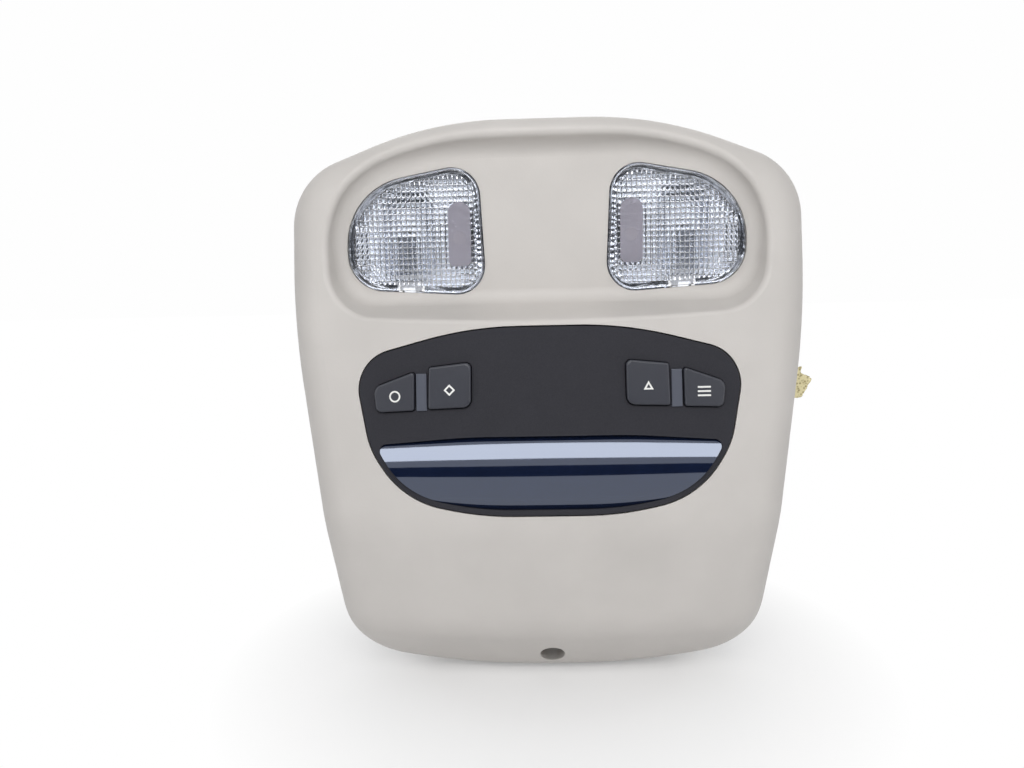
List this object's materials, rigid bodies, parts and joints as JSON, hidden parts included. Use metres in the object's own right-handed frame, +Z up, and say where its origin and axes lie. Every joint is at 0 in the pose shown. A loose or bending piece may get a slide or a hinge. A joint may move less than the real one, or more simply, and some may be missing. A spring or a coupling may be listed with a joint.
{
  "type": "car interior light",
  "caption": "Overhead roof console: moulded beige shell, scooped recess with clear prismatic push lenses, charcoal button panel and tinted trip display.",
  "frame": {"origin": "axis of the fixing screw in the plane of the rim that meets the roof lining", "axes": "+X to the right, +Z up the face towards the lamps, -Y out of the roof towards the cabin"},
  "size_m": [0.2074, 0.063, 0.2212],
  "materials": {
    "shell": "fine grained beige moulding",
    "lens": "clear prismatic",
    "reflector": "vacuum metallised",
    "bulb": "clear",
    "socket": "black",
    "switch": "black",
    "plunger": "white",
    "panel": "charcoal",
    "window": "dark blue tinted, polished",
    "button": "charcoal",
    "board": "green laminate",
    "tube": "evacuated display glass",
    "cover": "black",
    "steel": "zinc plated",
    "spring": "spring steel",
    "foam": "yellowed open cell foam"
  },
  "bodies": {
    "console": {"housing": "shell", "left_reflector": "reflector", "right_reflector": "reflector", "left_bulb": "bulb", "right_bulb": "bulb", "left_bulb_socket": "socket", "right_bulb_socket": "socket", "left_lamp_switch": "switch", "right_lamp_switch": "switch", "button_panel": "panel", "display_window": "window", "circuit_board": "board", "display_tube": "tube", "button_switches": "switch", "board_connector": "socket", "module_back_cover": "cover", "module_screws": "steel", "left_roof_clip": "spring", "right_roof_clip": "spring", "foam_pad": "foam"},
    "left_lens_body": {"left_lens": "lens"},
    "right_lens_body": {"right_lens": "lens"},
    "left_switch_plunger_body": {"left_switch_plunger": "plunger"},
    "right_switch_plunger_body": {"right_switch_plunger": "plunger"},
    "units_button_body": {"units_button": "button"},
    "reset_button_body": {"reset_button": "button"},
    "step_button_body": {"step_button": "button"},
    "menu_button_body": {"menu_button": "button"}
  },
  "joints": [
    {"name": "left_lens_press", "type": "hinge", "parent": "console", "child": "left_lens_body", "pos_m": [-0.07, -0.013, 0.1625], "axis": [0, 0, 1], "range_deg": [0, 2.5], "stiffness_Nm_per_rad": 0.6, "springref_deg": -2.86},
    {"name": "left_plunger_slide", "type": "slide", "parent": "console", "child": "left_switch_plunger_body", "axis": [0, 1, 0], "range_m": [0, 0.0017]},
    {"name": "right_lens_press", "type": "hinge", "parent": "console", "child": "right_lens_body", "pos_m": [0.07, -0.013, 0.1625], "axis": [0, 0, -1], "range_deg": [0, 2.5], "stiffness_Nm_per_rad": 0.6, "springref_deg": -2.86},
    {"name": "right_plunger_slide", "type": "slide", "parent": "console", "child": "right_switch_plunger_body", "axis": [0, 1, 0], "range_m": [0, 0.0017]},
    {"name": "units_button_press", "type": "slide", "parent": "console", "child": "units_button_body", "axis": [0, 0.9901, -0.1406], "range_m": [0, 0.0012], "stiffness_N_per_m": 400, "springref_m": -0.001},
    {"name": "reset_button_press", "type": "slide", "parent": "console", "child": "reset_button_body", "axis": [0, 0.9901, -0.1406], "range_m": [0, 0.0012], "stiffness_N_per_m": 400, "springref_m": -0.001},
    {"name": "step_button_press", "type": "slide", "parent": "console", "child": "step_button_body", "axis": [0, 0.9901, -0.1406], "range_m": [0, 0.0012], "stiffness_N_per_m": 400, "springref_m": -0.001},
    {"name": "menu_button_press", "type": "slide", "parent": "console", "child": "menu_button_body", "axis": [0, 0.9901, -0.1406], "range_m": [0, 0.0012], "stiffness_N_per_m": 400, "springref_m": -0.001}
  ],
  "couplings": [
    {"joint": "left_plunger_slide", "follows": "left_lens_press", "m_per_rad": 0.0374},
    {"joint": "right_plunger_slide", "follows": "right_lens_press", "m_per_rad": 0.0374}
  ]
}
